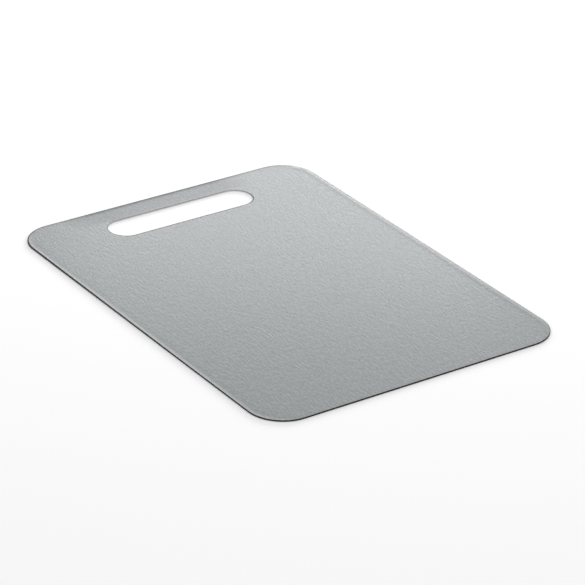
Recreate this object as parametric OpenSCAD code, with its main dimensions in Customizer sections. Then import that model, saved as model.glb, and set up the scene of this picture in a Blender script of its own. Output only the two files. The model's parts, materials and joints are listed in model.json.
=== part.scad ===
// Flexible cutting mat. A thin, hard, embossed cutting face is bonded to a dark grip backing, and
// both are die-cut together, with round corners and a long finger slot near one end.
// Millimetres, Z up. The origin is the middle of the underside. X runs along the mat and the
// finger slot is at the -X end. The cook stands at the -Y side.
// The mat is one bending sheet. Both long sides curl up to make a chute, so each layer is parted
// there into narrow strips that lie flush, edge to edge, and turn about their upper edges.

/* [Mat] */
// Length of the mat
mat_length = 290; // [240:1:400]
// Width of the mat
mat_width = 213; // [170:1:300]
// Radius of the four outer corners
corner_radius = 23; // [8:1:45]

/* [Layers] */
// Thickness of the hard cutting face
face_thickness = 0.3; // [0.2:0.05:0.8]
// Thickness of the grip backing under it
backing_thickness = 0.7; // [0.3:0.05:2]
// Size of the small chamfer that eases every cut edge of the mat
edge_ease = 0.1; // [0.05:0.05:0.15]

/* [Finger slot] */
// Length of the slot, from round end to round end
slot_length = 106; // [70:1:120]
// Width of the slot
slot_width = 23.5; // [16:0.5:30]
// Width of the grip bar between the slot and the end of the mat
grip_width = 17; // [12:0.5:35]

/* [Bending] */
// How far the flat middle of the mat runs past each end of the slot
slot_margin = 4; // [3:0.5:10]
// Number of strips in each side that curls up
side_strips = 5; // [2:1:8]

/* [Hidden] */
$fn = 96;
// The two long sides: the front is nearest the cook
SIDES = [["front", -1], ["back", 1]];
LAYERS = ["cutting_face", "grip_backing"];

middle_width = slot_length + 2 * slot_margin;
strip_width = (mat_width - middle_width) / (2 * side_strips);
slot_radius = slot_width / 2;
slot_centre_x = grip_width + slot_radius - mat_length / 2;
// How far a cutting shape runs past the face that it cuts
past = 1;

function strip_name(layer, side, i) = str(layer, "_", side[0], "_", i);

// Section of a sheet from its middle to its rim, with the rim eased above. Height is the second number.
function rim_section(half, thickness) = [
    [0, 0],
    [half, 0],
    [half, thickness - edge_ease],
    [half - edge_ease, thickness],
    [0, thickness]
];

// Section of the slot's cutter, which flares to ease the slot's edge and then runs on above the sheet
function slot_section(thickness) = [
    [0, -past],
    [slot_radius, -past],
    [slot_radius, thickness - edge_ease],
    [slot_radius + edge_ease + past, thickness + past],
    [0, thickness + past]
];

// A section and its mirror image, extruded along X or along Y
module along_x(length, section) {
    for (flip = [0, 1])
        mirror([0, flip, 0])
            rotate([90, 0, 90])
                linear_extrude(length, center = true)
                    polygon(section);
}

module along_y(length, section) {
    rotate([0, 0, 90])
        along_x(length, section);
}

// The slot's cutter: a straight run between two round ends, across the mat
module slot_cutter(thickness) {
    section = slot_section(thickness);
    straight = slot_length - slot_width;
    translate([slot_centre_x, 0, 0]) {
        along_y(straight, section);
        for (end = [-1, 1])
            translate([0, end * straight / 2, 0])
                rotate_extrude()
                    polygon(section);
    }
}

// One whole layer of the mat, as it leaves the die, with its upper edges eased
module die_cut_sheet(thickness) {
    inner_length = mat_length - 2 * corner_radius;
    inner_width = mat_width - 2 * corner_radius;
    difference() {
        union() {
            along_x(inner_length, rim_section(mat_width / 2, thickness));
            along_y(inner_width, rim_section(mat_length / 2, thickness));
            for (x = [-1, 1], y = [-1, 1])
                translate([x * inner_length / 2, y * inner_width / 2, 0])
                    rotate_extrude()
                        polygon(rim_section(corner_radius, thickness));
        }
        slot_cutter(thickness);
    }
}

// The hard, silver-grey, embossed layer that the knife meets
module cutting_face() {
    translate([0, 0, backing_thickness])
        die_cut_sheet(face_thickness);
}

// The dark layer that grips the worktop. Its eased edge is underneath.
module grip_backing() {
    translate([0, 0, backing_thickness])
        mirror([0, 0, 1])
            die_cut_sheet(backing_thickness);
}

// The part of a sheet between two lines along the mat
module between(y_from, y_to) {
    intersection() {
        children();
        translate([-mat_length / 2 - past, y_from, -past])
            cube([mat_length + 2 * past, y_to - y_from, face_thickness + backing_thickness + 2 * past]);
    }
}

// The flat middle, which stays on the worktop and holds the finger slot
module middle_panel() {
    between(-middle_width / 2, middle_width / 2)
        children();
}

// Strip i of a side, counted from the middle panel outwards
module side_strip(side, i) {
    inner = middle_width / 2 + (i - 1) * strip_width;
    outer = i == side_strips ? mat_width / 2 + past : inner + strip_width;
    if (side[1] > 0)
        between(inner, outer) children();
    else
        between(-outer, -inner) children();
}

module cutting_face_middle() {
    color([0.66, 0.68, 0.68])
        middle_panel()
            cutting_face();
}

module cutting_face_strip(side, i) {
    color([0.66, 0.68, 0.68])
        side_strip(side, i)
            cutting_face();
}

module grip_backing_middle() {
    color([0.1, 0.1, 0.11])
        middle_panel()
            grip_backing();
}

module grip_backing_strip(side, i) {
    color([0.1, 0.1, 0.11])
        side_strip(side, i)
            grip_backing();
}

cutting_face_middle();
grip_backing_middle();
for (side = SIDES, i = [1:side_strips]) {
    cutting_face_strip(side, i);
    grip_backing_strip(side, i);
}
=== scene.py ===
import json
import math

import bmesh
import bpy
from mathutils import Matrix, Vector

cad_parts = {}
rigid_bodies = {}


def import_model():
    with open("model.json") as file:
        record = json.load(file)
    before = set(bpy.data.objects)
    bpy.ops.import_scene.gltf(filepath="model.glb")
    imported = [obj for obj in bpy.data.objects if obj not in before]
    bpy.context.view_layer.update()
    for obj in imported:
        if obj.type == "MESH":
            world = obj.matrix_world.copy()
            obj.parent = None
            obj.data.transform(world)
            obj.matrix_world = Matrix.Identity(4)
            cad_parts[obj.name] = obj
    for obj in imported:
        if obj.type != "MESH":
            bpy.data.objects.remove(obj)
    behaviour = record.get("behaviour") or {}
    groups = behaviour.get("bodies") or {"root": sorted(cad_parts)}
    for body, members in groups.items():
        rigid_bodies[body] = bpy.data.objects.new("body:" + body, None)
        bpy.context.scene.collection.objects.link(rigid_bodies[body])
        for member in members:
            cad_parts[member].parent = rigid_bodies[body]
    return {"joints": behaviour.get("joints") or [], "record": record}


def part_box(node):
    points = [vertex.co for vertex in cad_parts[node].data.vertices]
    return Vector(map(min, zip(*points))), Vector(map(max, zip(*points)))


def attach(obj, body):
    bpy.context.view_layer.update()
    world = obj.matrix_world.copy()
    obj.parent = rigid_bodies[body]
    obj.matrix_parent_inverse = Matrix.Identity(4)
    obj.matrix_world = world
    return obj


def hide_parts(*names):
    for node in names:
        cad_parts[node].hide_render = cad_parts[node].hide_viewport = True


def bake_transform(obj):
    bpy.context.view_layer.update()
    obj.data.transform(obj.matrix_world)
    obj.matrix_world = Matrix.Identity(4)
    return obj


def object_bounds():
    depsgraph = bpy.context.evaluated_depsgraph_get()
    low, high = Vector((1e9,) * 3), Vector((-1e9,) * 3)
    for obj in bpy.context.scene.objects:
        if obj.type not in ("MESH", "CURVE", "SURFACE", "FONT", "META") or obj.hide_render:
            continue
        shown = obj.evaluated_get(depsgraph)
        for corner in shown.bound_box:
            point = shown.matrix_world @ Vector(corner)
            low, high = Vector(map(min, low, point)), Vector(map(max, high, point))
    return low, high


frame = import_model()
cad_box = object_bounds()

# Grip backing. A soft, black, rubbery sheet 0.7 mm thick that keeps the mat from sliding, bonded all over
# to the cutting face. One stroke of the die cuts both to the same outline, with four large round corners
# and a long finger slot near one end. The sheet curls along both long sides; here it is parted there into
# stretches.
MM = 0.001
CORNER_RADIUS = 23 * MM
CORNER_STEPS = 24
SLOT_LENGTH = 106 * MM
SLOT_WIDTH = 23.5 * MM
SLOT_STEPS = 20
BACKING_ROUND = 0.1 * MM
ROW = 1 * MM
COLUMN = 10 * MM
SHARP_FROM = math.radians(50)
half_length = cad_box[1].x
half_width = cad_box[1].y
backing_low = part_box("grip_backing_middle")[0].z
backing_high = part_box("grip_backing_middle")[1].z
slot_x = next(m["pos_m"][0] for m in frame["record"]["mounts"] if m["name"] == "finger_slot")
hinges = {}
for joint in frame["joints"]:
    side = joint["child"].split("_")[0]
    hinges.setdefault(side, []).append((abs(joint["pos_m"][1]), joint["parent"], joint["child"]))
pitch = hinges["front"][1][0] - hinges["front"][0][0]
# Each stretch runs half-way past the next hinge line.
# The flat middle ends a little short of where the first turn begins.
MIDDLE_SHORT_OF_HINGE = 3.5 * MM
flat_half_width = hinges["front"][0][0] - MIDDLE_SHORT_OF_HINGE


def quarter(centre_x, centre_y, radius, first_angle, steps):
    """A quarter of a circle, counter-clockwise from first_angle."""
    angles = [math.radians(first_angle + 90 * k / steps) for k in range(steps + 1)]
    return [(centre_x + radius * math.cos(a), centre_y + radius * math.sin(a)) for a in angles]


def outer_outline(inset):
    """The mat's outline, moved inwards, in two halves: round the slot's end, then round the other."""
    x = half_length - CORNER_RADIUS
    y = half_width - CORNER_RADIUS
    radius = CORNER_RADIUS - inset
    slot_end = quarter(-x, y, radius, 90, CORNER_STEPS) + quarter(-x, -y, radius, 180, CORNER_STEPS)
    other_end = quarter(x, -y, radius, 270, CORNER_STEPS) + quarter(x, y, radius, 0, CORNER_STEPS)
    return [(slot_x, half_width - inset)] + slot_end, [(slot_x, inset - half_width)] + other_end


def slot_outline(inset):
    """The slot's outline, moved into the sheet, in the same two halves."""
    y = (SLOT_LENGTH - SLOT_WIDTH) / 2
    radius = SLOT_WIDTH / 2 + inset
    near_end = quarter(slot_x, y, radius, 90, SLOT_STEPS) + quarter(slot_x, -y, radius, 180, SLOT_STEPS)
    far_side = quarter(slot_x, -y, radius, 270, SLOT_STEPS) + quarter(slot_x, y, radius, 0, SLOT_STEPS)
    return near_end[:-1], far_side[:-1]


def die_cut_sheet(section, worked):
    """A closed sheet from its section at a cut edge, from the underside up: steps of distance in from the
    cut and height. worked gives each point its height and how pale it is coloured there."""
    sheet = bmesh.new()
    paleness = sheet.verts.layers.float.new("silver_skin")
    rings = {}
    for outline in (outer_outline, slot_outline):
        rings[outline] = []
        cut = outline(0)[0] + outline(0)[1]
        for inset, height in section:
            first, second = outline(inset)
            ring = []
            for (x, y), cut_point in zip(first + second, cut):
                z, silver = worked(inset, height, *cut_point, outline is slot_outline)
                vertex = sheet.verts.new((x, y, z))
                vertex[paleness] = silver
                ring.append(vertex)
            rings[outline].append((ring, len(first)))
        for (low, _), (high, _) in zip(rings[outline], rings[outline][1:]):
            for k in range(len(low)):
                sheet.faces.new((low[k - 1], low[k], high[k], high[k - 1]))
    for level in (0, -1):
        outer, outer_turn = rings[outer_outline][level]
        slot, slot_turn = rings[slot_outline][level]
        sheet.faces.new(outer[:outer_turn + 1] + slot[:slot_turn + 1][::-1])
        sheet.faces.new(outer[outer_turn:] + outer[:1] + slot[:1] + slot[slot_turn:][::-1])
    bmesh.ops.recalc_face_normals(sheet, faces=sheet.faces[:])
    return sheet


def cut_across(piece, axis, place, keep=0):
    """Cuts a piece square to an axis. keep is the side that stays, -1 or 1, or 0 for a mere score."""
    point = [0, 0, 0]
    normal = [0, 0, 0]
    point[axis] = place
    normal[axis] = -keep or 1
    whole = piece.verts[:] + piece.edges[:] + piece.faces[:]
    found = bmesh.ops.bisect_plane(
        piece, geom=whole, dist=1e-7, plane_co=point, plane_no=normal, clear_outer=keep != 0
    )
    if keep:
        edges = [e for e in found["geom_cut"] if isinstance(e, bmesh.types.BMEdge)]
        bmesh.ops.edgeloop_fill(piece, edges=edges)


def rows_between(low, high, step):
    """Evenly spaced places between two others, about a step apart."""
    count = round((high - low) / step)
    return [low + (high - low) * k / count for k in range(1, count)]


def finished_piece(name, piece, material, node):
    """Gives a cut piece its columns, its shading and its finish, and lets it stand for its node."""
    for x in rows_between(-half_length, half_length, COLUMN):
        cut_across(piece, 0, x)
    bmesh.ops.recalc_face_normals(piece, faces=piece.faces[:])
    mesh = bpy.data.meshes.new(name)
    piece.to_mesh(mesh)
    piece.free()
    mesh.shade_smooth()
    mesh.set_sharp_from_angle(angle=SHARP_FROM)
    flat_place = mesh.attributes.new("flat_place", "FLOAT_VECTOR", "POINT")
    for vertex, stored in zip(mesh.vertices, flat_place.data):
        stored.vector = vertex.co / MM
    mesh.materials.append(material)
    made = bpy.data.objects.new(name, mesh)
    bpy.context.scene.collection.objects.link(made)
    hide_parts(node)
    return made


def lay_out(layer, sheet, material):
    """Parts a sheet into its flat middle and its stretches, and puts the middle on its body."""
    middle = sheet.copy()
    for keep in (-1, 1):
        cut_across(middle, 1, -keep * flat_half_width, keep)
    for y in rows_between(-flat_half_width, flat_half_width, COLUMN):
        cut_across(middle, 1, y)
    made = finished_piece(f"{layer}_middle_panel", middle, material, f"{layer}_middle")
    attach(made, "middle")
    for side, sign in (("front", -1), ("back", 1)):
        inner = flat_half_width
        for number, (place, parent, child) in enumerate(hinges[side], start=1):
            last = number == len(hinges[side])
            outer = half_width if last else place + pitch / 2
            stretch = sheet.copy()
            cut_across(stretch, 1, sign * inner, sign)
            if not last:
                cut_across(stretch, 1, sign * outer, -sign)
            for y in rows_between(inner, outer, ROW):
                cut_across(stretch, 1, sign * y)
            name = f"{layer}_{side}_stretch_{number}"
            made = finished_piece(name, stretch, material, f"{layer}_{side}_{number}")
            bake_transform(made)
            inner = outer
    sheet.free()


def backing_section():
    """Rounded a little underneath, and square where it meets the cutting face."""
    angles = [math.pi / 8 * k for k in range(5)]
    low_rim = [(1 - math.sin(a), 1 - math.cos(a)) for a in angles]
    steps = [(BACKING_ROUND * across, backing_low + BACKING_ROUND * up) for across, up in low_rim]
    return steps + [(0, backing_high)]


def backing_worked(inset, height, cut_x, cut_y, at_slot):
    """The outer wall is black, and the wall round the slot is coloured pale grey."""
    return height, 1 if at_slot else 0


def black_rubber():
    """Dull black with a fine, even pebble, and coloured pale grey on the walls round the slot."""
    material = bpy.data.materials.new("black_grip_rubber")
    material.use_nodes = True
    nodes = material.node_tree.nodes
    link = material.node_tree.links.new
    shader = nodes["Principled BSDF"]
    shader.inputs["IOR"].default_value = 1.4
    place = nodes.new("ShaderNodeAttribute")
    place.attribute_name = "flat_place"
    pebbles = nodes.new("ShaderNodeTexVoronoi")
    pebbles.feature = "SMOOTH_F1"
    pebbles.inputs["Scale"].default_value = 1.6
    dust = nodes.new("ShaderNodeTexNoise")
    dust.inputs["Scale"].default_value = 0.35
    dust.inputs["Detail"].default_value = 6
    black = nodes.new("ShaderNodeValToRGB")
    black.color_ramp.elements[0].color = (0.012, 0.012, 0.013, 1)
    black.color_ramp.elements[1].color = (0.03, 0.03, 0.031, 1)
    pale_slot_wall = nodes.new("ShaderNodeAttribute")
    pale_slot_wall.attribute_name = "silver_skin"
    colour = nodes.new("ShaderNodeMix")
    colour.data_type = "RGBA"
    # The walls round the slot are coloured pale grey.
    colour.inputs["B"].default_value = (0.58, 0.59, 0.59, 1)
    dullness = nodes.new("ShaderNodeMapRange")
    dullness.inputs["To Min"].default_value = 0.6
    dullness.inputs["To Max"].default_value = 0.8
    relief = nodes.new("ShaderNodeBump")
    relief.inputs["Strength"].default_value = 0.6
    relief.inputs["Distance"].default_value = 0.05 * MM
    link(place.outputs["Vector"], pebbles.inputs["Vector"])
    link(place.outputs["Vector"], dust.inputs["Vector"])
    link(dust.outputs["Fac"], black.inputs["Fac"])
    link(black.outputs["Color"], colour.inputs["A"])
    link(pale_slot_wall.outputs["Fac"], colour.inputs["Factor"])
    link(colour.outputs["Result"], shader.inputs["Base Color"])
    link(dust.outputs["Fac"], dullness.inputs["Value"])
    link(dullness.outputs["Result"], shader.inputs["Roughness"])
    link(pebbles.outputs["Distance"], relief.inputs["Height"])
    link(relief.outputs["Normal"], shader.inputs["Normal"])
    return material


lay_out("grip_backing", die_cut_sheet(backing_section(), backing_worked), black_rubber())


# Cutting face. A hard, satin, silver-grey plastic sheet 0.3 mm thick, embossed between rollers with a
# fine slanting grain, all but a plain selvedge along both long sides. The die eases its rim and leaves
# shallow lips along the sides. A thin dark line of its body is coloured along the rim, widened with
# painted shade at the front towards the slot's end and round the slot.
RIM_ROLL = 0.15 * MM
RIM_DROP = 0.06 * MM
RIM_STEPS = (0, 0.25, 0.5, 0.75, 1)
TOP_STEPS = (0.25, 0.35, 0.5, 0.7, 0.9, 1.2, 1.5, 1.9, 2.3, 2.7, 3.3, 3.9, 4.5, 5.1, 5.7, 6.3, 7)
# How far the face lies below its highest lip, by distance in from the cut, both in millimetres.
FRONT_LIP = ((0, 0), (2.7, 0.11), (6.6, 0.08))
BACK_LIP = ((0, 0.075), (2.4, 0.015), (5.8, 0.08))
SLOT_END_LIP = ((-1.2, 0.003), (3.2, 0.08))
OTHER_END_LIP = ((0, 0.085), (3, 0.08))
SLOT_LIP = ((0, 0.08), (1, 0.08))
# How wide the dark line along the rim is, in millimetres: the face's dark body, with painted shade where
# it widens. At the front it widens with painted shade from the mat's middle to the slot's end, and round
# the slot painted shade makes it widest on the side away from the end. It fades out from three quarters
# of its width, over half its width.
FRONT_BARE_AND_SHADE = ((-90, 0.85), (0, 0.24))
BACK_BARE = 0.38
SLOT_END_BARE = 0.64
OTHER_END_BARE = 0.45
SLOT_BARE_AND_SHADE = 0.48
SLOT_SHADE_MORE = 0.36
DARK_LINE_FADES_FROM = 0.75
DARK_LINE_FADES_OVER = 0.5
# The size and depth of the grain, and how far in the selvedge ends, in millimetres.
GRAIN_SLANT = math.radians(12)
GRAIN_LONG = 2.9
GRAIN_SHORT = 1.15
GRAIN_DEPTH = 0.052
SELVEDGE = (2.0, 3.5)
# The narrow strip beyond the slot bows up a little: its rise at even steps out to its outer edge. It is
# full to 40 mm on either side of the mat's middle line, and fades out by 75 mm.
BOW_OVER = 17.0
BOW_LEVEL = 40.0
BOW_FADES = 75.0
BOW_RISE = (0, 0.04, 0.11, 0.18, 0.26, 0.33, 0.41, 0.5, 0.76)
face_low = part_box("cutting_face_middle")[0].z
face_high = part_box("cutting_face_middle")[1].z


def eased(table, place):
    """Reads a table of (place, value) with level, rounded steps."""
    if place < table[0][0]:
        return table[0][1]
    for (low, before), (high, after) in zip(table, table[1:]):
        if place < high:
            return before + (after - before) * (1 - math.cos(math.pi * (place - low) / (high - low))) / 2
    return table[-1][1]


def round_the_mat(cut_x, cut_y, front, back, slot_end, other_end):
    """What holds at a point of the outer cut, from what holds on each side, blended round the corners."""
    past_x = max(abs(cut_x) - (half_length - CORNER_RADIUS), 0)
    past_y = max(abs(cut_y) - (half_width - CORNER_RADIUS), 0)
    long_side = past_y ** 2 / (past_x ** 2 + past_y ** 2)
    on_long_side = front if cut_y < 0 else back
    on_short_side = slot_end if cut_x < 0 else other_end
    return long_side * on_long_side + (1 - long_side) * on_short_side


def face_section():
    """Eased at the rim, then level, with steps close enough together for the lips."""
    steps = [(0, face_low)]
    steps += [(RIM_ROLL * share, face_high - RIM_DROP * (1 - share) ** 2) for share in RIM_STEPS]
    return steps + [(inset * MM, face_high) for inset in TOP_STEPS]


def face_worked(inset, height, cut_x, cut_y, at_slot):
    """The lips, and the dark line along the rim: the face's dark body, widened with painted shade at the
    front left and round the slot.
    """
    if height == face_low:
        # The face's outer wall is coloured dark, and its wall round the slot silver.
        return height, 1 if at_slot else 0
    inset = inset / MM
    if at_slot:
        drop = eased(SLOT_LIP, inset)
        # Round the slot the dark line is widened with painted shade on the side away from the end.
        bare_and_shade = SLOT_BARE_AND_SHADE + SLOT_SHADE_MORE * (cut_x - slot_x) / (SLOT_WIDTH / 2)
    else:
        lips = [eased(lip, inset) for lip in (FRONT_LIP, BACK_LIP, SLOT_END_LIP, OTHER_END_LIP)]
        drop = round_the_mat(cut_x, cut_y, *lips)
        # At the front the dark line widens with painted shade towards the slot's end.
        front_bare_and_shade = eased(FRONT_BARE_AND_SHADE, cut_x / MM)
        bare_and_shade = round_the_mat(cut_x, cut_y, front_bare_and_shade, BACK_BARE, SLOT_END_BARE, OTHER_END_BARE)
    silver = min(max((inset - DARK_LINE_FADES_FROM * bare_and_shade) / (DARK_LINE_FADES_OVER * bare_and_shade), 0), 1)
    return height - drop * MM, silver


def silver_plastic():
    """Satin silver-grey, with the embossed grain as relief and a dark line at the cut rim, partly the
    dark body and partly painted shade.
    """
    material = bpy.data.materials.new("embossed_silver_plastic")
    material.use_nodes = True
    nodes = material.node_tree.nodes
    link = material.node_tree.links.new
    shader = nodes["Principled BSDF"]
    shader.inputs["IOR"].default_value = 1.5
    place = nodes.new("ShaderNodeAttribute")
    place.attribute_name = "flat_place"
    slant = nodes.new("ShaderNodeMapping")
    slant.inputs["Rotation"].default_value = (0, 0, GRAIN_SLANT)
    stretch = nodes.new("ShaderNodeMapping")
    stretch.inputs["Scale"].default_value = (1 / GRAIN_LONG, 1 / GRAIN_SHORT, 1 / GRAIN_SHORT)
    cells = nodes.new("ShaderNodeTexVoronoi")
    cells.feature = "SMOOTH_F1"
    cells.inputs["Scale"].default_value = 1
    streaks = nodes.new("ShaderNodeTexNoise")
    streaks.inputs["Scale"].default_value = 1
    streaks.inputs["Detail"].default_value = 2
    pressed = nodes.new("ShaderNodeMath")
    pressed.operation = "SUBTRACT"
    tone = nodes.new("ShaderNodeValToRGB")
    tone.color_ramp.elements[0].position = 0.3
    tone.color_ramp.elements[0].color = (0.135, 0.15, 0.155, 1)
    tone.color_ramp.elements[1].position = 0.7
    tone.color_ramp.elements[1].color = (0.193, 0.211, 0.216, 1)
    paleness = nodes.new("ShaderNodeAttribute")
    paleness.attribute_name = "silver_skin"
    colour = nodes.new("ShaderNodeMix")
    colour.data_type = "RGBA"
    colour.inputs["A"].default_value = (0.012, 0.012, 0.012, 1)
    dullness = nodes.new("ShaderNodeMapRange")
    dullness.inputs["To Min"].default_value = 0.8
    dullness.inputs["To Max"].default_value = 0.28
    across = nodes.new("ShaderNodeSeparateXYZ")
    from_middle = nodes.new("ShaderNodeMath")
    from_middle.operation = "ABSOLUTE"
    selvedge = nodes.new("ShaderNodeMapRange")
    selvedge.inputs["From Min"].default_value = half_width / MM - SELVEDGE[0]
    selvedge.inputs["From Max"].default_value = half_width / MM - SELVEDGE[1]
    selvedge.inputs["To Max"].default_value = GRAIN_DEPTH
    grain = nodes.new("ShaderNodeMath")
    grain.operation = "MULTIPLY"
    beyond_slot = nodes.new("ShaderNodeMapRange")
    beyond_slot.inputs["From Min"].default_value = BOW_OVER - half_length / MM
    beyond_slot.inputs["From Max"].default_value = -half_length / MM
    beside_slot = nodes.new("ShaderNodeMapRange")
    beside_slot.interpolation_type = "SMOOTHSTEP"
    beside_slot.inputs["From Min"].default_value = BOW_FADES
    beside_slot.inputs["From Max"].default_value = BOW_LEVEL
    rise = nodes.new("ShaderNodeValToRGB")
    rise.color_ramp.interpolation = "B_SPLINE"
    for _ in BOW_RISE[2:]:
        rise.color_ramp.elements.new(1)
    for step, height in enumerate(BOW_RISE):
        rise.color_ramp.elements[step].position = step / (len(BOW_RISE) - 1)
        rise.color_ramp.elements[step].color = (height, height, height, 1)
    surface = nodes.new("ShaderNodeMath")
    surface.operation = "MULTIPLY_ADD"
    relief = nodes.new("ShaderNodeBump")
    relief.inputs["Strength"].default_value = 1
    relief.inputs["Distance"].default_value = 1 * MM
    link(place.outputs["Vector"], slant.inputs["Vector"])
    link(slant.outputs["Vector"], stretch.inputs["Vector"])
    link(stretch.outputs["Vector"], cells.inputs["Vector"])
    link(stretch.outputs["Vector"], streaks.inputs["Vector"])
    link(streaks.outputs["Fac"], tone.inputs["Fac"])
    # Where the pale share falls, the face is coloured dark: its dark body, widened with painted shade.
    link(paleness.outputs["Fac"], colour.inputs["Factor"])
    link(tone.outputs["Color"], colour.inputs["B"])
    link(colour.outputs["Result"], shader.inputs["Base Color"])
    link(paleness.outputs["Fac"], dullness.inputs["Value"])
    link(dullness.outputs["Result"], shader.inputs["Roughness"])
    link(streaks.outputs["Fac"], pressed.inputs[0])
    link(cells.outputs["Distance"], pressed.inputs[1])
    link(place.outputs["Vector"], across.inputs["Vector"])
    link(across.outputs["Y"], from_middle.inputs[0])
    link(from_middle.outputs["Value"], selvedge.inputs["Value"])
    link(pressed.outputs["Value"], grain.inputs[0])
    link(selvedge.outputs["Result"], grain.inputs[1])
    link(across.outputs["X"], beyond_slot.inputs["Value"])
    link(from_middle.outputs["Value"], beside_slot.inputs["Value"])
    link(beyond_slot.outputs["Result"], rise.inputs["Fac"])
    link(rise.outputs["Color"], surface.inputs[0])
    link(beside_slot.outputs["Result"], surface.inputs[1])
    link(grain.outputs["Value"], surface.inputs[2])
    link(surface.outputs["Value"], relief.inputs["Height"])
    link(relief.outputs["Normal"], shader.inputs["Normal"])
    return material


lay_out("cutting_face", die_cut_sheet(face_section(), face_worked), silver_plastic())


# Floor. A wide studio table, painted matt white, that the mat lies on. It is part of the studio and not
# of the mat.
FLOOR_HALF = 3.0


def white_table():
    """Matt white paint, very slightly clouded."""
    material = bpy.data.materials.new("white_table")
    material.use_nodes = True
    nodes = material.node_tree.nodes
    link = material.node_tree.links.new
    shader = nodes["Principled BSDF"]
    shader.inputs["Roughness"].default_value = 0.9
    shader.inputs["Specular IOR Level"].default_value = 0.1
    place = nodes.new("ShaderNodeTexCoord")
    clouds = nodes.new("ShaderNodeTexNoise")
    clouds.inputs["Scale"].default_value = 3
    shade = nodes.new("ShaderNodeValToRGB")
    shade.color_ramp.elements[0].color = (0.985, 0.985, 0.985, 1)
    shade.color_ramp.elements[1].color = (0.995, 0.995, 0.995, 1)
    link(place.outputs["Object"], clouds.inputs["Vector"])
    link(clouds.outputs["Fac"], shade.inputs["Fac"])
    link(shade.outputs["Color"], shader.inputs["Base Color"])
    return material


corners = [(x * FLOOR_HALF, y * FLOOR_HALF, 0) for x, y in ((-1, -1), (1, -1), (1, 1), (-1, 1))]
floor_mesh = bpy.data.meshes.new("table_top")
floor_mesh.from_pydata(corners, [], [(0, 1, 2, 3)])
floor_mesh.materials.append(white_table())
table_top = bpy.data.objects.new("table_top", floor_mesh)
bpy.context.scene.collection.objects.link(table_top)


# Lights. A long, low softbox behind the mat's back left corner gives the sheen that fades towards the
# front right, and the soft shadow along the two near edges. A small one nearer to the mat lifts its left
# end, and a pale room fills the rest.
def softbox(name, place, aim, width, height, power):
    """A rectangular lamp, width and height in metres and power in watts, turned towards aim."""
    light = bpy.data.lights.new(name, "AREA")
    light.shape = "RECTANGLE"
    light.size = width
    light.size_y = height
    light.energy = power
    lamp = bpy.data.objects.new(name, light)
    lamp.location = place
    lamp.rotation_mode = "QUATERNION"
    lamp.rotation_quaternion = (Vector(aim) - Vector(place)).to_track_quat("-Z", "Y")
    bpy.context.scene.collection.objects.link(lamp)


softbox("near_softbox", (-0.444, 0.311, 0.251), (0, 0, 0), 0.36, 0.05, 0.157)
softbox("far_softbox", (-1.0371, 1.0591, 0.2295), (0, 0, 0), 1.47, 0.2, 26.5)
room = bpy.data.worlds.new("pale_room")
room.use_nodes = True
room.node_tree.nodes["Background"].inputs["Color"].default_value = (1, 1, 1, 1)
room.node_tree.nodes["Background"].inputs["Strength"].default_value = 0.837
bpy.context.scene.world = room


# Camera. A long lens, a little under two metres away, looks down on the mat from its front right.
# The picture is shown with plain, unfiltered tones.
CAMERA_AZIMUTH = math.radians(55.028)
CAMERA_ELEVATION = math.radians(27.345)
CAMERA_DISTANCE = 1.95
CAMERA_ROLL = math.radians(1.455)
CAMERA_AIM = Vector((0.01383, -0.00223, 0.001))
LENS = 196.36
SENSOR = 36

camera = bpy.data.cameras.new("photo_camera")
camera.lens = LENS
camera.sensor_width = SENSOR
camera.clip_start = 0.1
camera.clip_end = 20
holder = bpy.data.objects.new("photo_camera", camera)
level = math.cos(CAMERA_ELEVATION)
to_camera = Vector((
    math.sin(CAMERA_AZIMUTH) * level, -math.cos(CAMERA_AZIMUTH) * level, math.sin(CAMERA_ELEVATION)
))
holder.location = CAMERA_AIM + CAMERA_DISTANCE * to_camera
turn = (-to_camera).to_track_quat("-Z", "Y").to_matrix().to_4x4() @ Matrix.Rotation(CAMERA_ROLL, 4, "Z")
holder.rotation_mode = "QUATERNION"
holder.rotation_quaternion = turn.to_quaternion()
bpy.context.scene.collection.objects.link(holder)
bpy.context.scene.camera = holder
bpy.context.scene.view_settings.view_transform = "Standard"
